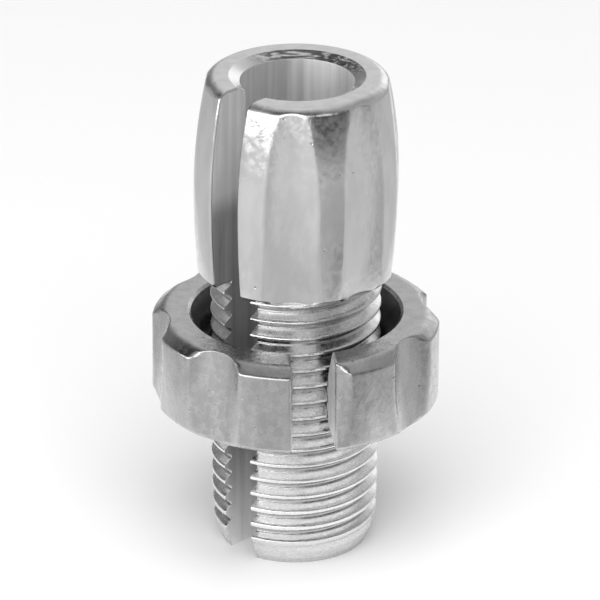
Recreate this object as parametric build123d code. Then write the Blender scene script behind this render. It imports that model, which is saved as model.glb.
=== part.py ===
from build123d import *
from math import radians, tan
import os

# Slotted cable adjuster: a barrel with a fluted head and an M10 x 1 shank, and the
# lobed lock ring that runs on the shank.  Millimetres, +Z up, and the origin is the
# centre of the shank's lower end.  Angles are measured about +Z from the -Y side,
# positive towards +X.

# ---- driving dimensions ----------------------------------------------------------
length = 28.5  # whole barrel, shank end to top lip
shank_length = 16.8  # shank end to the underside of the head

thread_pitch = 1.0  # M10 x 1, right-hand, one start
thread_start = 10.8  # where the groove's middle crosses the lower end, and every pitch above
shank_r = 4.9  # crest radius of the outer thread
thread_root_r = 4.28
crest_flat = 0.12
groove_rise = 0.08  # the groove's section stands proud of the crest by this
lead_end_r = 4.25  # shank end: a short lead chamfer, then a slight taper up to full size
lead_r = 4.74
lead_height = 1.3
taper_height = 8.0

head_base_r = 5.7  # barrel-shaped head: foot, widest place and shoulder
head_max_r = 5.92
head_max_z = 22.0
head_shoulder_r = 5.22
head_shoulder_z = 28.0
head_foot_edge = 0.25  # small bevel round the foot
head_top_r = 4.6  # outer edge of the flat top lip

flute_count = 8  # positions round the head; the slot takes one of them
flute_phase = -2.8  # degrees
flute_depth = 0.38  # at the widest place of the head
flute_r = 6.5  # hollow of the flute, across the head
flute_bow_r = 38.0  # lengthwise bow of the flute's floor
flute_half_bow = 14.0  # degrees of that bow each side of the widest place

socket_r = 3.2  # seat of the cable housing
socket_depth = 11.0
socket_lip_r = 3.85
socket_lip_depth = 0.34
cable_hole_r = 1.6  # bare inner cable
cable_hole_lip_r = 2.0

slot_width = 2.05  # lets the cable in sideways, full length
slot_angle = -44.0

ring_base_z = 8.9  # lower face of the lock ring at rest
ring_height = 5.25
ring_r = 8.22
ring_bore_r = 4.95  # running clearance of 0.05 on the thread crests
ring_bore_edge = 0.35
ring_mouth_r = 6.0  # countersink that clears the foot of the head
ring_mouth_depth = 1.9
ring_mouth_edge = 0.15
ring_flat_r = 7.67  # outer edge of the ring's flat top, where its bevel starts
ring_shoulder_height = 4.7  # lower edge of that bevel
ring_foot_edge = 0.25

ring_lobe_count = 8
ring_lobe_angle = 10.2  # middle of one of the flutes between the lobes
ring_flute_low_r = 4.6  # the flutes are shallow and flat below, deep and round on top
ring_flute_low_depth = 0.36
ring_flute_top_r = 2.2
ring_flute_top_depth = 0.95
ring_slot_width = 2.45
ring_slot_angle = 7.9

overshoot = 1.0  # how far a cutter runs past what it cuts


def turned(outline):
    """Solid of revolution about Z of a closed outline drawn in the XZ plane."""
    return revolve(make_face(Plane.XZ * outline), Axis.Z)


def line_through(*points):
    """Straight runs through points given as (radius, height)."""
    return Polyline(*[(r, z) for r, z in points])


def heading(angle):
    """Plane rotation that turns the -Y direction to an angle towards +X."""
    return Rot(0, 0, angle)


def slot_cutter(width, angle, reach, low, high):
    """Box from the axis outwards, parallel-sided, facing the given angle."""
    box = Box(width, reach, high - low, align=(Align.CENTER, Align.MAX, Align.MIN))
    return heading(angle) * Pos(0, 0, low) * box


def threaded_shank():
    """Crest cylinder with a helical groove, a lead chamfer and a slight taper."""
    shank = Cylinder(shank_r, shank_length, align=(Align.CENTER, Align.CENTER, Align.MIN))
    shank = heading(180) * shank  # seam opposite the start of the groove
    depth = shank_r - thread_root_r
    flank = tan(radians(30))
    root_half = (thread_pitch - crest_flat) / 2 - depth * flank
    mouth_half = root_half + (depth + groove_rise) * flank
    path = Helix(pitch=thread_pitch, height=shank_length + 2 * overshoot, radius=shank_r)
    path = Pos(0, 0, -overshoot) * path
    across = Plane(origin=path @ 0, x_dir=(1, 0, 0), z_dir=path % 0)
    groove = Polyline(
        (-depth, -root_half),
        (groove_rise, -mouth_half),
        (groove_rise, mouth_half),
        (-depth, root_half),
        close=True,
    )
    shank -= sweep(across * make_face(groove), path=path, is_frenet=True)
    shank -= turned(
        line_through(
            (lead_end_r, -overshoot), (lead_end_r, 0), (lead_r, lead_height),
            (shank_r, taper_height), (shank_r + overshoot, taper_height),
            (shank_r + overshoot, -overshoot), (lead_end_r, -overshoot),
        )
    )
    return heading(thread_start - 90) * shank


def head_blank():
    """Barrel-shaped head, before its flutes."""
    foot = Vector(head_base_r, shank_length + head_foot_edge)
    waist = Vector(head_max_r, head_max_z)
    shoulder = Vector(head_shoulder_r, head_shoulder_z)
    lower = TangentArc(waist, foot, tangent=(0, -1))
    upper = TangentArc(waist, shoulder, tangent=(0, 1))
    crown = TangentArc(shoulder, (head_top_r, length), tangent=upper % 1)
    rest = line_through(
        (head_top_r, length), (0, length), (0, shank_length),
        (head_base_r - head_foot_edge, shank_length), (foot.X, foot.Y),
    )
    return turned(lower + upper + crown + rest)


def head_flute(angle):
    """Long shallow hollow whose floor bows like the head: part of a torus."""
    floor_r = head_max_r - flute_depth
    section = Pos(floor_r + flute_r, 0, head_max_z) * Circle(flute_r)
    bow_axis = Axis((floor_r - flute_bow_r, 0, head_max_z), (0, 1, 0))
    low_end = section.rotate(bow_axis, -flute_half_bow)
    return heading(angle - 90) * revolve(low_end, bow_axis, 2 * flute_half_bow)


def adjuster_barrel():
    body = head_blank()
    for place in range(flute_count - 1):
        body -= head_flute(flute_phase + place * 360 / flute_count)
    body += threaded_shank()
    floor_z = length - socket_depth
    body -= turned(
        line_through(
            (0, floor_z), (socket_r, floor_z), (socket_r, length - socket_lip_depth),
            (socket_lip_r, length), (socket_lip_r, length + overshoot),
            (0, length + overshoot), (0, floor_z),
        )
    )
    lip = cable_hole_lip_r - cable_hole_r
    body -= turned(
        line_through(
            (0, -overshoot), (cable_hole_lip_r, -overshoot), (cable_hole_lip_r, 0),
            (cable_hole_r, lip), (cable_hole_r, floor_z + overshoot),
            (0, floor_z + overshoot), (0, -overshoot),
        )
    )
    reach = head_max_r + overshoot
    return body - slot_cutter(slot_width, slot_angle, reach, -overshoot, length + overshoot)


def ring_flute(angle):
    """Hollow between two lobes: its round section shrinks and moves inwards towards the top."""
    sections = []
    for height in (-overshoot, ring_height + overshoot):
        share = height / ring_height
        radius = ring_flute_low_r + (ring_flute_top_r - ring_flute_low_r) * share
        depth = ring_flute_low_depth + (ring_flute_top_depth - ring_flute_low_depth) * share
        sections.append(Pos(ring_r - depth + radius, 0, height) * Circle(radius))
    return heading(angle - 90) * loft(sections, ruled=True)


def lock_ring():
    top = ring_height
    ring = turned(
        line_through(
            (ring_flat_r, top), (ring_r, ring_shoulder_height), (ring_r, ring_foot_edge),
            (ring_r - ring_foot_edge, 0), (ring_bore_r + ring_bore_edge, 0),
            (ring_bore_r, ring_bore_edge), (ring_bore_r, top - ring_mouth_depth),
            (ring_mouth_r, top - ring_mouth_edge), (ring_mouth_r + ring_mouth_edge, top),
            (ring_flat_r, top),
        )
    )
    for place in range(ring_lobe_count):
        ring -= ring_flute(ring_lobe_angle + place * 360 / ring_lobe_count)
    reach = ring_r + overshoot
    ring -= slot_cutter(ring_slot_width, ring_slot_angle, reach, -overshoot, top + overshoot)
    return Pos(0, 0, ring_base_z) * ring


parts = {"adjuster_barrel": adjuster_barrel(), "lock_ring": lock_ring()}

os.makedirs("parts", exist_ok=True)
for name, shape in parts.items():
    solid = shape.solids()[0]
    export_step(solid, f"parts/{name}.step")
    print(name, len(shape.solids()), round(solid.volume, 2), solid.is_valid)
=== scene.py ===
from math import atan2, cos, degrees, pi, radians, sin, sqrt, tan

import bpy
import numpy as np
from mathutils import Matrix, Vector


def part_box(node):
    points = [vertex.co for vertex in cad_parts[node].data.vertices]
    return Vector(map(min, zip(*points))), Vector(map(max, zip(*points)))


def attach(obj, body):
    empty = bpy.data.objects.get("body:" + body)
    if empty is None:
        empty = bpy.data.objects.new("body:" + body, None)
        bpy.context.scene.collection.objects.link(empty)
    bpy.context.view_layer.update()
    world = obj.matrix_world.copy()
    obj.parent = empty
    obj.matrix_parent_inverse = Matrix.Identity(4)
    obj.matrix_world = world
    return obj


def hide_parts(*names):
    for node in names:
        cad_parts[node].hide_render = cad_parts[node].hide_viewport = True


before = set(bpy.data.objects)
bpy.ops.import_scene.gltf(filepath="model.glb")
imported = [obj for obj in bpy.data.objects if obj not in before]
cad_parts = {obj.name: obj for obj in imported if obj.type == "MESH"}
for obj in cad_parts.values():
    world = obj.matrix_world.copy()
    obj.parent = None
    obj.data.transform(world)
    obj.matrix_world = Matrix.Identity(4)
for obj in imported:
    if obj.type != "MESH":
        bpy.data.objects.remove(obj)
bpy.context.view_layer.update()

# Slotted cable adjuster: fluted barrel with an M10 x 1 shank, and its lobed lock ring.
# Lengths below are millimetres; angles are degrees about +Z from -Y towards +X.

MM = 0.001
barrel_low, barrel_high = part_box("adjuster_barrel")
ring_low, ring_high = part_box("lock_ring")

LENGTH = (barrel_high.z - barrel_low.z) / MM
RING_BASE = ring_low.z / MM
RING_HEIGHT = (ring_high.z - ring_low.z) / MM

# shank and thread
PITCH = 1.0
SHANK_LENGTH = 16.8
SHANK_R = 4.9
ROOT_R = 4.28
CREST_FLAT = 0.12
CREST_LEAN = 0.26  # how steeply the worn crest falls towards the head
CREST_TEAR = 0.011  # mean depth of the tears along the crest
THREAD_START = 10.8
LEAD_END_R = 4.25
LEAD_R = 4.74
LEAD_HEIGHT = 1.3
TAPER_HEIGHT = 8.0
FIRST_TURN = (0.6, 1.2)  # where the groove starts and how long it takes to reach its depth
THREAD_PLAY = 0.08  # between the shank's thread and the ring's

# head
FOOT_R = 5.7
FOOT_EDGE = 0.25
WAIST_R = 5.92
WAIST_Z = 22.0
SHOULDER_R = 5.22
SHOULDER_Z = 28.0
TOP_R = 4.6
FLUTE_COUNT = 8
FLUTE_PHASE = -2.8
FLUTE_DEPTH = 0.38
FLUTE_R = 6.5
FLUTE_BOW_R = 38.0

# bores and slot of the barrel
SOCKET_R = 3.2
SOCKET_DEPTH = 11.0
SOCKET_LIP_R = 3.85
SOCKET_LIP_DEPTH = 0.34
HOLE_R = 1.6
HOLE_LIP_R = 2.0
SLOT_WIDTH = 2.05
SLOT_ANGLE = -44.0

# lock ring
RING_R = 8.22
RING_BORE_R = 4.95
RING_BORE_EDGE = 0.35
RING_BORE_TOP = 4.0  # top of the part of the bore and countersink that carries the thread
RING_MOUTH_R = 6.0
RING_MOUTH_DEPTH = 1.9
RING_MOUTH_EDGE = 0.15
RING_MOUTH_SLOPE = (RING_MOUTH_R - RING_BORE_R) / (RING_MOUTH_DEPTH - RING_MOUTH_EDGE)
RING_FLAT_R = 7.55  # edge of the flat top, before it is rounded
RING_SHOULDER = 4.7
RING_FOOT_EDGE = 0.25
RING_LOBES = 8
RING_LOBE_ANGLE = 10.2
RING_FLUTE_LOW_DEPTH = 0.36
RING_FLUTE_LOW_R = 4.6
RING_FLUTE_TOP_DEPTH = 0.95
RING_FLUTE_TOP_R = 2.2
RING_SLOT_ANGLE = 7.9
RING_SLOT_WIDTH = 2.45

# roundings of corners and of the slots' edges
BARREL_ROUNDING = 0.09
RING_ROUNDING = 0.12
RING_SHOULDER_ROUNDING = 0.28
RING_FLAT_ROUNDING = 0.8
CRISP_EDGE = 0.04
HEAD_SLOT_EDGE = 0.14
RING_SLOT_EDGE = 0.16

NOTHING = 99.0  # radius where there is no hollow
COLUMNS = 420  # points round each piece, crowded towards its slot
CROWDING = 0.93


# ---- outlines ---------------------------------------------------------------------

def bend(start, heading, end, step):
    """Points along the arc that leaves start at a heading (degrees from +r), both ends in,
    and the heading at its end."""
    dr = end[0] - start[0]
    dz = end[1] - start[1]
    turn = 2 * (atan2(dz, dr) - radians(heading))
    radius = sqrt(dr * dr + dz * dz) / (2 * sin(turn / 2))
    count = max(2, round(abs(turn * radius) / step))
    points = []
    for k in range(count + 1):
        a = radians(heading) + turn * k / count
        r = start[0] + radius * (sin(a) - sin(radians(heading)))
        z = start[1] - radius * (cos(a) - cos(radians(heading)))
        points.append((r, z))
    return points, heading + degrees(turn)


def softened(corners, rounding):
    """Open outline with its true corners rounded; the points of an arc stay as they are."""
    out = [corners[0]]
    for before, here, after in zip(corners, corners[1:], corners[2:]):
        back = Vector(before) - Vector(here)
        on = Vector(after) - Vector(here)
        half = back.angle(on) / 2
        if half > radians(84):
            out.append(here)
            continue
        cut = min(rounding / tan(half), 0.45 * back.length, 0.45 * on.length)
        p0 = Vector(here) + back.normalized() * cut
        p1 = Vector(here) + on.normalized() * cut
        for k in range(7):
            t = k / 6
            q = p0 * (1 - t) ** 2 + Vector(here) * 2 * t * (1 - t) + p1 * t**2
            out.append((q.x, q.y))
    return out + [corners[-1]]


def thread_levels(low, high, groove):
    """Heights from low to high that fall on the corners of a thread with a groove at a height."""
    corner = (PITCH - CREST_FLAT) / 2
    side = [0.05, 0.1, 0.19, 0.28, 0.37, corner - 0.012, corner + 0.012]
    phases = [0.0, *side, PITCH / 2, *[PITCH - phase for phase in reversed(side)]]
    first = int((low - groove) // PITCH)
    last = int((high - groove) // PITCH)
    rows = [groove + n * PITCH + phase for n in range(first, last + 1) for phase in phases]
    return [low, *[z for z in rows if low + 0.01 < z < high - 0.01], high]


# ---- surfaces ---------------------------------------------------------------------

def soft_min(a, b, width):
    """Smaller of two radii, blended over a width."""
    share = np.clip(0.5 + 0.5 * (b - a) / width, 0, 1)
    return b + (a - b) * share - width * share * (1 - share)


def soft_max(a, b, width):
    """Larger of two radii, blended over a width."""
    return -soft_min(-a, -b, width)


def eased(share):
    """Share held between 0 and 1, with a gentle start and end."""
    share = np.clip(share, 0, 1)
    return share * share * (3 - 2 * share)


def hollow_radius(angle, centre, hollow_r, count, phase):
    """Near side of round hollows set evenly about Z, whose axes stand at radius centre."""
    step = 360 / count
    off = np.radians(angle - phase - np.round((angle - phase) / step) * step)
    aside = centre * np.sin(off)
    radius = centre * np.cos(off) - np.sqrt(np.maximum(hollow_r**2 - aside**2, 0))
    return np.where(np.abs(aside) < hollow_r, radius, NOTHING)


def thread_radius(angle, z):
    """Radius of the M10 x 1 thread at an angle and height, its corners softened."""
    phase = np.mod(z - (angle - THREAD_START) / 360 * PITCH, PITCH)
    off = np.minimum(phase, PITCH - phase)
    crest_edge = (PITCH - CREST_FLAT) / 2
    torn = np.sin(3.1 * angle + 9 * z) + np.sin(1.7 * angle - 23 * z) + np.sin(0.61 * angle + 5 * z)
    lean = CREST_LEAN * np.clip(phase - crest_edge, 0, CREST_FLAT)
    depth = SHANK_R - ROOT_R - lean - CREST_TEAR * (1 + torn / 3)
    climb = (off - crest_edge) / tan(radians(30)) + depth
    return ROOT_R + soft_min(soft_max(climb, 0 * climb, 0.05), depth, 0.012)


def helical(angle, z, seam, low, high, fade):
    """Height sheared to follow the thread, fading out at both ends of its stretch."""
    share = eased(np.clip((z - low) / fade, 0, 1) * np.clip((high - z) / fade, 0, 1))
    return z + share * (angle - seam) / 360 * PITCH


def barrel_surface(angle, r, z):
    """True radius and height of the barrel's skin."""
    on_thread = (r == SHANK_R) & (z <= SHANK_LENGTH)
    seam = SLOT_ANGLE + 180
    turned_z = helical(angle, z, seam, 0.0, SHANK_LENGTH, 1.3)
    lead = LEAD_END_R + (LEAD_R - LEAD_END_R) * turned_z / LEAD_HEIGHT
    taper = LEAD_R + (SHANK_R - LEAD_R) * (turned_z - LEAD_HEIGHT) / (TAPER_HEIGHT - LEAD_HEIGHT)
    crest = soft_min(soft_min(lead, taper, 0.1), SHANK_R + 0 * lead, 0.1)
    started = eased((turned_z - FIRST_TURN[0]) / FIRST_TURN[1])
    cut = soft_min(thread_radius(angle, turned_z), crest, 0.04)
    thread = crest + (cut - crest) * started
    floor_r = WAIST_R - FLUTE_DEPTH
    sweep = FLUTE_BOW_R + FLUTE_R
    centre = floor_r - FLUTE_BOW_R + np.sqrt(sweep**2 - (z - WAIST_Z) ** 2)
    flutes = hollow_radius(angle, centre, FLUTE_R, FLUTE_COUNT, FLUTE_PHASE)
    beside_slot = np.abs(np.mod(angle - SLOT_ANGLE + 180, 360) - 180) < 180 / FLUTE_COUNT
    flutes = np.where(beside_slot, NOTHING, flutes)
    head = np.where((r > ROOT_R) & (z >= SHANK_LENGTH), soft_min(r, flutes, 0.05), r)
    return np.where(on_thread, thread, head), np.where(on_thread, turned_z, z)


def ring_surface(angle, r, z):
    """True radius and height of the lock ring's skin."""
    in_bore = r == SHANK_R
    up = z - RING_BASE
    turned_z = helical(angle, z, RING_SLOT_ANGLE + 180, RING_BASE, RING_BASE + RING_BORE_TOP, 0.8)
    turned_up = turned_z - RING_BASE
    mouth_floor = RING_HEIGHT - RING_MOUTH_DEPTH
    mouth = RING_BORE_R + (turned_up - mouth_floor) * RING_MOUTH_SLOPE
    foot = RING_BORE_R + RING_BORE_EDGE - turned_up
    bore = thread_radius(angle, turned_z) + THREAD_PLAY
    bore = soft_max(soft_max(bore, mouth, 0.08), foot, 0.08)
    share = up / RING_HEIGHT
    flute_r = RING_FLUTE_LOW_R + (RING_FLUTE_TOP_R - RING_FLUTE_LOW_R) * share
    depth = RING_FLUTE_LOW_DEPTH + (RING_FLUTE_TOP_DEPTH - RING_FLUTE_LOW_DEPTH) * share
    flutes = hollow_radius(angle, RING_R - depth + flute_r, flute_r, RING_LOBES, RING_LOBE_ANGLE)
    outside = np.where(r > RING_MOUTH_R + RING_MOUTH_EDGE, soft_min(r, flutes, 0.14), r)
    return np.where(in_bore, bore, outside), np.where(in_bore, turned_z, z)


def slotted_shell(name, outline, surface, slot_angle, slot_width, edge_r):
    """Turned body with a parallel-sided slot from its axis outwards.

    outline is a closed, counter-clockwise list of (r, z), surface(angle, r, z) gives the
    true radius and height, and edge_r rounds the slot's edges, one value per point.
    """
    outline = np.array(outline)
    count = len(outline)
    base_r = np.tile(outline[:, 0], (COLUMNS, 1))
    base_z = np.tile(outline[:, 1], (COLUMNS, 1))
    ease = np.linspace(0, 1, COLUMNS)[:, None]
    spread = ease - CROWDING * np.sin(2 * pi * ease) / (2 * pi)
    half = slot_width / 2

    # a parallel wall's angle depends on the radius and the radius on the angle: close in
    r, z = base_r, base_z
    for _ in range(4):
        edge = np.arcsin(half / r)
        turned = edge + spread * (2 * pi - 2 * edge)
        r, z = surface(slot_angle + np.degrees(turned), base_r, base_z)

    # round the edges where the skin meets the slot's two walls
    ahead = np.roll(outline, -1, 0) - np.roll(outline, 1, 0)
    ahead /= np.linalg.norm(ahead, axis=1)[:, None]
    in_front = np.cos(turned) > 0
    inward = np.where(in_front, np.maximum(np.abs(r * np.sin(turned)) - half, 0), 2 * SHANK_R)
    edge_r = np.tile(np.asarray(edge_r), (COLUMNS, 1))
    arc = np.sqrt(np.abs(edge_r**2 - (edge_r - inward) ** 2))
    gone = np.where(inward < edge_r, edge_r - arc, 0)
    r = r - gone * ahead[:, 1]
    z = z + gone * ahead[:, 0]
    kept = np.arcsin(np.minimum((half + inward) / r, 1))
    kept = np.where(turned < pi, kept, 2 * pi - kept)
    turned = np.where(inward < edge_r, kept, turned)

    heading = radians(slot_angle) + turned
    points = np.stack([r * np.sin(heading), -r * np.cos(heading), z], -1) * MM
    column, row = np.meshgrid(np.arange(COLUMNS - 1), np.arange(count), indexing="ij")
    here = column * count + row
    above = column * count + (row + 1) % count
    quads = np.stack([here, here + count, above + count, above], -1).reshape(-1, 4).tolist()
    first_wall = list(range(count))
    last_wall = list(range(COLUMNS * count - 1, (COLUMNS - 1) * count - 1, -1))
    mesh = bpy.data.meshes.new(name)
    mesh.from_pydata(points.reshape(-1, 3).tolist(), [], quads + [first_wall, last_wall])
    mesh.update()
    faces = len(mesh.polygons)
    smooth = np.ones(faces, bool)
    smooth[-2:] = False
    mesh.polygons.foreach_set("use_smooth", smooth)
    wall_edges = set(mesh.polygons[faces - 2].edge_keys) | set(mesh.polygons[faces - 1].edge_keys)
    for line in mesh.edges:
        if line.key in wall_edges:
            line.use_edge_sharp = True
    piece = bpy.data.objects.new(name, mesh)
    bpy.context.scene.collection.objects.link(piece)
    return piece


def barrel_outline():
    """Barrel's outline, from the shank's lower edge up the outside and down the bores."""
    groove = (SLOT_ANGLE + 180 - THREAD_START) / 360 * PITCH
    shank = [(SHANK_R, z) for z in thread_levels(0.0, SHANK_LENGTH, groove)]
    foot = (FOOT_R, SHANK_LENGTH + FOOT_EDGE)
    waist = (WAIST_R, WAIST_Z)
    shoulder = (SHOULDER_R, SHOULDER_Z)
    lower = bend(waist, -90, foot, 0.15)[0][::-1]
    upper, heading = bend(waist, 90, shoulder, 0.12)
    crown = bend(shoulder, heading, (TOP_R, LENGTH), 0.05)[0]
    floor = LENGTH - SOCKET_DEPTH
    lip = LENGTH - SOCKET_LIP_DEPTH
    hole_edge = HOLE_LIP_R - HOLE_R
    underside = [(SHANK_R + 0.04 * k, SHANK_LENGTH) for k in range(1, 8)]
    corners = underside + [(FOOT_R - FOOT_EDGE, SHANK_LENGTH)] + lower + upper[1:] + crown[1:]
    corners += [(SOCKET_LIP_R, LENGTH), (SOCKET_R, lip), (SOCKET_R, floor), (HOLE_R, floor)]
    corners += [(HOLE_R, hole_edge), (HOLE_LIP_R, 0.0), (LEAD_END_R - 0.05, 0.0)]
    return shank + softened(corners, BARREL_ROUNDING)


def ring_outline():
    """Ring's outline, from its lower outer edge up the lobes and down the threaded bore."""
    groove = (RING_SLOT_ANGLE + 180 - THREAD_START) / 360 * PITCH
    shoulder = (RING_R, RING_SHOULDER)
    flat_edge = (RING_FLAT_R, RING_HEIGHT)
    below = (RING_R, RING_SHOULDER - 1)
    inside = (RING_FLAT_R - 1, RING_HEIGHT)
    edge = softened([below, shoulder, flat_edge], RING_SHOULDER_ROUNDING)[1:-1]
    edge += softened([shoulder, flat_edge, inside], RING_FLAT_ROUNDING)[1:-1]
    flat_r = np.linspace(RING_FLAT_R - 0.4, RING_MOUTH_R + RING_MOUTH_EDGE, 16)
    flat = [(r, RING_HEIGHT) for r in flat_r.tolist()]
    wall_up = np.linspace(RING_FOOT_EDGE, RING_SHOULDER - 0.2, 20)
    wall = [(RING_R, up) for up in wall_up.tolist()]
    mouth_top = RING_HEIGHT - RING_MOUTH_EDGE
    bore_top_r = RING_MOUTH_R - (mouth_top - RING_BORE_TOP) * RING_MOUTH_SLOPE
    corners = [(RING_BORE_R + RING_BORE_EDGE + 0.05, 0.0), (RING_R - RING_FOOT_EDGE, 0.0)]
    corners += wall + edge + flat
    corners += [(RING_MOUTH_R, mouth_top)]
    corners += [(bore_top_r + 0.03 * RING_MOUTH_SLOPE, RING_BORE_TOP + 0.03)]
    skin = [(r, z + RING_BASE) for r, z in softened(corners, RING_ROUNDING)]
    bore = thread_levels(RING_BASE, RING_BASE + RING_BORE_TOP, groove)
    return skin + [(SHANK_R, z) for z in reversed(bore)]


# ---- pieces -----------------------------------------------------------------------

barrel_line = barrel_outline()
barrel_edges = [
    CRISP_EDGE if z < SHANK_LENGTH or r < SOCKET_LIP_R else HEAD_SLOT_EDGE
    for r, z in barrel_line
]
barrel = slotted_shell(
    "barrel_body", barrel_line, barrel_surface, SLOT_ANGLE, SLOT_WIDTH, barrel_edges,
)
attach(barrel, "barrel")
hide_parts("adjuster_barrel")

ring_line = ring_outline()
ring_edges = [
    CRISP_EDGE if r < RING_BORE_R + RING_BORE_EDGE else RING_SLOT_EDGE
    for r, z in ring_line
]
ring = slotted_shell(
    "lock_ring_body", ring_line, ring_surface, RING_SLOT_ANGLE, RING_SLOT_WIDTH, ring_edges,
)
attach(ring, "ring")
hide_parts("lock_ring")

# ---- metals -----------------------------------------------------------------------

class Nodes:
    """Short calls for the nodes that the metals are made of. Lengths are millimetres."""

    def __init__(self, material):
        material.use_nodes = True
        self.tree = material.node_tree
        self.shader = self.tree.nodes["Principled BSDF"]

    def add(self, kind, **settings):
        node = self.tree.nodes.new(kind)
        for name, value in settings.items():
            setattr(node, name, value)
        return node

    def feed(self, source, socket):
        if isinstance(source, bpy.types.NodeSocket):
            self.tree.links.new(source, socket)
        else:
            socket.default_value = source

    def place(self, stretch):
        """Position on the piece in millimetres, times a factor along each axis."""
        scaled = self.add("ShaderNodeVectorMath", operation="MULTIPLY")
        self.feed(self.add("ShaderNodeTexCoord").outputs["Object"], scaled.inputs[0])
        self.feed([k / MM for k in stretch], scaled.inputs[1])
        return scaled.outputs[0]

    def noise(self, stretch, scale, detail=3.0):
        node = self.add("ShaderNodeTexNoise")
        self.feed(self.place(stretch), node.inputs["Vector"])
        self.feed(scale, node.inputs["Scale"])
        self.feed(detail, node.inputs["Detail"])
        return node.outputs["Fac"]

    def ramp(self, value, low, high, to_low, to_high):
        """Smooth step of a value from one range to another."""
        node = self.add("ShaderNodeMapRange", interpolation_type="SMOOTHSTEP")
        self.feed(value, node.inputs["Value"])
        self.feed(low, node.inputs["From Min"])
        self.feed(high, node.inputs["From Max"])
        self.feed(to_low, node.inputs["To Min"])
        self.feed(to_high, node.inputs["To Max"])
        return node.outputs["Result"]

    def dings(self, scale, size, share):
        """1 in small round dings, 0 elsewhere; only a share of the cells has one."""
        cell = self.add("ShaderNodeTexVoronoi")
        self.feed(self.place((1, 1, 1)), cell.inputs["Vector"])
        self.feed(scale, cell.inputs["Scale"])
        inside = self.ramp(cell.outputs["Distance"], size * 0.4, size, 1.0, 0.0)
        pick = self.add("ShaderNodeSeparateColor")
        self.feed(cell.outputs["Color"], pick.inputs[0])
        chosen = self.ramp(pick.outputs[0], share, share + 0.02, 1.0, 0.0)
        return self.math("MULTIPLY", inside, chosen)

    def math(self, operation, a, b):
        node = self.add("ShaderNodeMath", operation=operation)
        self.feed(a, node.inputs[0])
        self.feed(b, node.inputs[1])
        return node.outputs[0]

    def total(self, *heights):
        height = heights[0]
        for more in heights[1:]:
            height = self.math("ADD", height, more)
        return height

    def finish(self, shade, roughness, height, metallic=1.0):
        """Grey metal with the given shade, roughness and relief in millimetres."""
        colour = self.add("ShaderNodeCombineColor")
        for socket in colour.inputs:
            self.feed(shade, socket)
        self.feed(colour.outputs[0], self.shader.inputs["Base Color"])
        self.shader.inputs["Metallic"].default_value = metallic
        self.feed(roughness, self.shader.inputs["Roughness"])
        bump = self.add("ShaderNodeBump")
        bump.inputs["Distance"].default_value = MM
        self.feed(height, bump.inputs["Height"])
        self.feed(bump.outputs[0], self.shader.inputs["Normal"])


def tumbled(name, bright, dull, pits):
    """Tumbled aluminium: wavy, finely grained, with dings whose hollows carry painted shade, and a
    few darker smudges.
    """
    metal = bpy.data.materials.new(name)
    n = Nodes(metal)
    smudge = n.noise((1, 1, 0.3), 1.4, 5.0)
    shade = n.ramp(smudge, 0.36, 0.6, bright - 0.06, bright)
    shaded_dings = n.dings(1.3, 0.12, pits)
    # painted shade: the dings' hollows are darkened in the colour
    shade = n.math("SUBTRACT", shade, n.math("MULTIPLY", shaded_dings, 0.3))
    roughness = n.ramp(n.noise((1, 1, 1), 2.4, 4.0), 0.35, 0.65, dull - 0.06, dull + 0.08)
    waves = n.math("MULTIPLY", n.noise((1, 1, 0.5), 0.7, 1.0), 0.05)
    ripples = n.math("MULTIPLY", n.noise((1, 1, 0.5), 3.2, 4.0), 0.018)
    grain = n.math("MULTIPLY", n.noise((1, 1, 0.2), 12.0, 2.0), 0.0016)
    relief = n.total(waves, ripples, grain, n.math("MULTIPLY", shaded_dings, -0.02))
    n.finish(shade, roughness, relief)
    return metal


PAINTED_SHADE_FROM = (0.5, 7.5)  # heights between which the slot's wall darkens, then lightens again: painted shade where little light reaches
PAINTED_SHADE_TO = (20.9, 22.6)


def machined(name, bright, dull, painted_shade=0.0, metallic=1.0):
    """Cut aluminium inside the bores and slots: fine marks along the axis, less polish.

    The painted shade argument is how much darker it is painted along its middle, where little light
    reaches, than at its two ends.
    """
    metal = bpy.data.materials.new(name)
    n = Nodes(metal)
    marks = n.noise((1, 1, 0.03), 2.2, 4.0)
    shade = n.ramp(marks, 0.3, 0.7, 0.84 * bright, 1.03 * bright)
    place = n.add("ShaderNodeSeparateXYZ")
    n.feed(n.place((1, 1, 1)), place.inputs[0])
    # painted shade: the wall's middle heights are darkened in the colour
    low = n.ramp(place.outputs["Z"], *PAINTED_SHADE_FROM, 0.0, 1.0)
    high = n.ramp(place.outputs["Z"], *PAINTED_SHADE_TO, painted_shade, 0.0)
    shade = n.math("SUBTRACT", shade, n.math("MULTIPLY", low, high))
    roughness = n.ramp(n.noise((1, 1, 0.2), 1.7, 3.0), 0.35, 0.65, dull - 0.08, dull + 0.08)
    relief = n.total(
        n.math("MULTIPLY", marks, 0.006),
        n.math("MULTIPLY", n.noise((1, 1, 1), 1.1, 2.0), 0.02),
    )
    n.finish(shade, roughness, relief, metallic)
    return metal


CHATTER = 0.68  # how much darker the chamfer's worst streaks are


def chattered(name, bright, dull):
    """Chamfer cut with a chattering tool: bright and dark streaks, the worst at the back."""
    metal = bpy.data.materials.new(name)
    n = Nodes(metal)
    place = n.add("ShaderNodeSeparateXYZ")
    n.feed(n.place((1, 1, 1)), place.inputs[0])
    back = n.math("ADD", place.outputs["Y"], n.math("MULTIPLY", place.outputs["X"], 0.35))
    worst = n.ramp(back, 1.2, 3.0, 0.0, CHATTER)
    streaks = n.noise((0.25, 2, 4), 2.6, 4.0)
    dark = n.ramp(streaks, 0.46, 0.62, 1.0, 0.0)
    shade = n.math("SUBTRACT", bright, n.math("MULTIPLY", dark, worst))
    marks = n.math("MULTIPLY", n.noise((0.5, 1.6, 4), 4.0, 4.0), n.math("MULTIPLY", worst, 0.08))
    n.finish(shade, dull, marks)
    return metal


PAINTED_GROOVE_SHADE = 0.58  # painted shade: how bright the groove's floor and the shank's end are painted, of the flanks' 1
PAINTED_END_SHADE = 0.84


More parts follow.
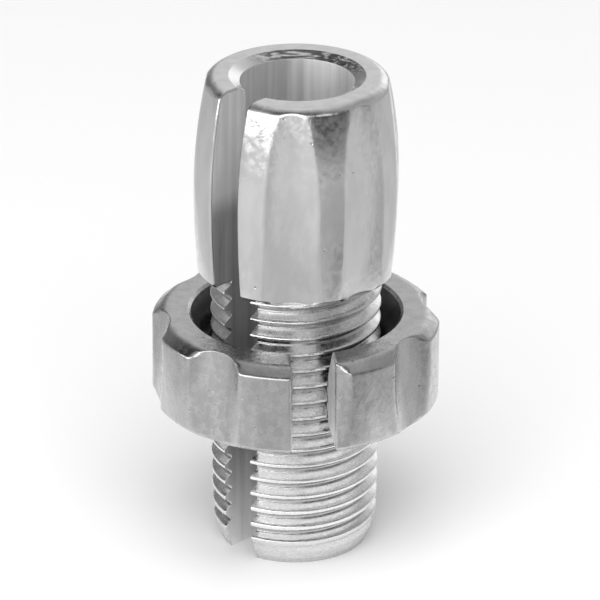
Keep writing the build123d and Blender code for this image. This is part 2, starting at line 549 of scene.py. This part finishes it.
def rolled(name, bright, dull):
    """Thread: bright flanks with fine tears, and painted shade in the groove and at the shank's
    end.
    """
    metal = bpy.data.materials.new(name)
    n = Nodes(metal)
    out = n.add("ShaderNodeVectorMath", operation="LENGTH")
    n.feed(n.place((1, 1, 0)), out.inputs[0])
    place = n.add("ShaderNodeSeparateXYZ")
    n.feed(n.place((1, 1, 1)), place.inputs[0])
    # painted shade on the groove's floor and at the shank's end
    groove = n.ramp(out.outputs["Value"], ROOT_R + 0.02, ROOT_R + 0.12, PAINTED_GROOVE_SHADE, 1.0)
    groove = n.math("MAXIMUM", groove, n.ramp(place.outputs["Z"], 0.9, 1.6, PAINTED_END_SHADE, 0.0))
    groove = n.math("MULTIPLY", groove, n.ramp(place.outputs["Z"], 0.8, 2.6, PAINTED_END_SHADE, 1.0))
    shade = n.ramp(n.noise((1, 1, 2), 1.5, 4.0), 0.3, 0.6, bright - 0.05, bright)
    shade = n.math("MULTIPLY", shade, groove)
    roughness = n.ramp(n.noise((1, 1, 3), 3.0, 4.0), 0.35, 0.65, dull - 0.06, dull + 0.08)
    tears = n.math("MULTIPLY", n.noise((1, 1, 5), 4.0, 3.0), 0.0016)
    waves = n.math("MULTIPLY", n.noise((1, 1, 1), 1.2, 1.0), 0.02)
    n.finish(shade, roughness, n.total(tears, waves))
    return metal


def zone_materials(piece, materials, zone):
    """Give each face the material whose number zone(radius, height, face) returns."""
    for material in materials:
        piece.data.materials.append(material)
    for face in piece.data.polygons:
        x, y, z = face.center / MM
        face.material_index = zone(sqrt(x * x + y * y), z, face)


def barrel_zone(r, z, face):
    """Head 0, thread 1, bores 2, chamfer 3, and the slot's two many-sided walls 4."""
    if len(face.vertices) > 4:
        return 4
    if r < SOCKET_R + 0.04 and z < LENGTH - 0.25:
        return 2
    if r < SOCKET_LIP_R - 0.03 and z > LENGTH - 0.4:
        return 3
    return 1 if z < SHANK_LENGTH and face.normal.z > -0.98 else 0


def ring_zone(r, z, face):
    """Outside 0, countersink and bore 1, painted dark as shade, and the slot's two many-sided walls
    2.
    """
    if len(face.vertices) > 4:
        return 2
    return 1 if r < RING_MOUTH_R - 0.02 else 0


barrel_metals = [
    tumbled("head_aluminium", 0.84, 0.19, 0.12),
    rolled("thread_aluminium", 0.9, 0.25),
    machined("bored_aluminium", 0.95, 0.62),
    chattered("chamfer_aluminium", 0.85, 0.2),
    # the slot's walls carry 0.42 of painted shade along their middle
    machined("slot_aluminium", 0.98, 0.55, 0.42, 0.7),
]
ring_metals = [
    tumbled("ring_aluminium", 0.6, 0.24, 0.3),
    # the countersink and bore are painted almost black: painted shade inside the ring
    machined("ring_inside_painted_shade", 0.16, 0.4),
    machined("ring_slot_aluminium", 0.92, 0.5, 0.0, 0.7),
]
zone_materials(barrel, barrel_metals, barrel_zone)
zone_materials(ring, ring_metals, ring_zone)

# ---- stage and light --------------------------------------------------------------

def aim(azimuth, elevation):
    """Direction out from the object, azimuth from -Y towards +X."""
    a = radians(azimuth)
    e = radians(elevation)
    return Vector((sin(a) * cos(e), -cos(a) * cos(e), sin(e)))


def studio_sky(base, patches):
    """World of one soft grey, with soft lighter and darker patches by direction."""
    world = bpy.data.worlds.new("studio")
    world.use_nodes = True
    bpy.context.scene.world = world
    tree = world.node_tree
    tree.nodes.clear()
    direction = tree.nodes.new("ShaderNodeTexCoord").outputs["Generated"]
    total = None
    for azimuth, elevation, spread, amount in patches:
        nearness = tree.nodes.new("ShaderNodeVectorMath")
        nearness.operation = "DOT_PRODUCT"
        tree.links.new(direction, nearness.inputs[0])
        nearness.inputs[1].default_value = aim(azimuth, elevation)
        patch = tree.nodes.new("ShaderNodeMapRange")
        patch.interpolation_type = "SMOOTHSTEP"
        patch.inputs["From Min"].default_value = cos(radians(spread))
        patch.inputs["From Max"].default_value = 1.0
        patch.inputs["To Min"].default_value = 0.0
        patch.inputs["To Max"].default_value = amount
        tree.links.new(nearness.outputs["Value"], patch.inputs["Value"])
        add = tree.nodes.new("ShaderNodeMath")
        add.operation = "ADD"
        add.inputs[1].default_value = base
        tree.links.new(patch.outputs["Result"], add.inputs[0])
        if total:
            tree.links.new(total, add.inputs[1])
        total = add.outputs[0]
    limit = tree.nodes.new("ShaderNodeMath")
    limit.operation = "MAXIMUM"
    limit.inputs[1].default_value = 0.03
    tree.links.new(total, limit.inputs[0])
    glow = tree.nodes.new("ShaderNodeBackground")
    tree.links.new(limit.outputs[0], glow.inputs["Color"])
    output = tree.nodes.new("ShaderNodeOutputWorld")
    tree.links.new(glow.outputs[0], output.inputs["Surface"])


def softbox(name, azimuth, elevation, distance, size, power):
    """Square area light that faces the object."""
    data = bpy.data.lights.new(name, "AREA")
    data.size = size
    data.energy = power
    lamp = bpy.data.objects.new(name, data)
    bpy.context.scene.collection.objects.link(lamp)
    away = aim(azimuth, elevation)
    lamp.location = away * distance + Vector((0, 0, LENGTH / 2 * MM))
    lamp.rotation_euler = away.to_track_quat("Z", "Y").to_euler()
    return lamp


# azimuth, elevation, radius in degrees and added brightness of each patch
SKY = [
    (-82, 8, 22, 1.6),
    (-54, 9, 26, 2.2),
    (-26, 8, 24, 1.8),
    (-4, 8, 17, 1.2),
    (40, 12, 42, -0.36),
    (-10, 60, 42, -0.33),
    (-114, 41, 40, -0.38),
    (0, 90, 40, 0.3),
    (100, 50, 40, -0.08),
    (180, 22, 60, 0.25),
    (8, 24, 13, 1.0),
    (36, 24, 13, 0.9),
    (156, 12, 22, 0.5),
    (-154, 12, 24, -0.45),
]
studio_sky(0.42, SKY)

lamp = softbox("paper_light", 0, 62, 0.5, 0.5, 2.8)
lamp.visible_glossy = False

# The floor's colour is painted light: a white strip, a painted pool of light, under and behind the
# object, and painted grey shade round it, for the metal to reflect.
# The strip's edges are in metres: half its width, how fast it widens to the back, its front.
PAINTED_POOL_WHITE = 0.88
PAINTED_SHADE_GREY = 0.5
STRIP_SIDE = (0.0168, 0.036)
STRIP_SPREAD = 0.07
STRIP_FRONT = (0.0105, 0.025)
# x, y, inner and outer radius in metres, and what is added to the painted grey shade there: lighter
# and darker patches of painted light for the metal to reflect
PAINTED_FLOOR_SHADES = [
    (-0.055, -0.05, 0.015, 0.055, 0.08),
    (0.045, -0.05, 0.02, 0.045, -0.15),
    (0.32, -0.36, 0.28, 0.42, -0.3),
    (0.0, -0.034, 0.006, 0.022, -0.06),
    (0.028, -0.021, 0.005, 0.02, -0.17),
]


def painted_light_floor():
    """Floor with painted light: a white strip, a painted pool of light, under and behind the
    object, and painted grey shade with painted patches all round it, for the metal to reflect.
    """
    painted_floor = bpy.data.materials.new("painted_floor")
    n = Nodes(painted_floor)
    coordinates = n.add("ShaderNodeTexCoord").outputs["Object"]
    place = n.add("ShaderNodeSeparateXYZ")
    n.feed(coordinates, place.inputs[0])
    aside = n.math("ABSOLUTE", place.outputs["X"], 0.0)
    aside = n.math("SUBTRACT", aside, n.math("MULTIPLY", place.outputs["Y"], STRIP_SPREAD))
    in_front = n.math("MULTIPLY", place.outputs["Y"], -1.0)
    beside = n.ramp(aside, *STRIP_SIDE, 0.0, 1.0)
    outside = n.math("MAXIMUM", beside, n.ramp(in_front, *STRIP_FRONT, 0.0, 1.0))
    # painted shade outside the strip, painted pool of light inside it
    grey = PAINTED_SHADE_GREY
    for x, y, near, far, amount in PAINTED_FLOOR_SHADES:
        away = n.add("ShaderNodeVectorMath", operation="DISTANCE")
        n.feed(coordinates, away.inputs[0])
        n.feed((x, y, 0), away.inputs[1])
        grey = n.math("ADD", n.ramp(away.outputs["Value"], near, far, amount, 0.0), grey)
    n.feed(n.ramp(outside, 0.0, 1.0, PAINTED_POOL_WHITE, grey), n.shader.inputs["Base Color"])
    n.shader.inputs["Roughness"].default_value = 0.9
    n.shader.inputs["Specular IOR Level"].default_value = 0.1
    return painted_floor


bpy.ops.mesh.primitive_plane_add(size=2.0)
floor = bpy.context.object
floor.name = "floor"
floor.data.materials.append(painted_light_floor())
bpy.context.scene.view_settings.view_transform = "Standard"

# ---- camera -----------------------------------------------------------------------

CAMERA_HEIGHT_ANGLE = 24.87
CAMERA_DISTANCE = 260.0
CAMERA_AIM = Vector((0.24, 0.0, 14.66))
CAMERA_ROLL = 0.42
LENS = 273.7

tilt = radians(CAMERA_HEIGHT_ANGLE)
forward = Vector((0, cos(tilt), -sin(tilt)))
right = Vector((1, 0, 0))
up = right.cross(forward)
roll = radians(CAMERA_ROLL)
camera_x = right * cos(roll) + up * sin(roll)
camera_y = up * cos(roll) - right * sin(roll)
camera_data = bpy.data.cameras.new("camera")
camera_data.lens = LENS
camera_data.sensor_width = 36.0
camera_data.clip_start = 0.01
camera_data.clip_end = 10.0
camera = bpy.data.objects.new("camera", camera_data)
bpy.context.scene.collection.objects.link(camera)
turned = Matrix((camera_x, camera_y, -forward)).transposed().to_4x4()
camera.matrix_world = Matrix.Translation((CAMERA_AIM - forward * CAMERA_DISTANCE) * MM) @ turned
bpy.context.scene.camera = camera
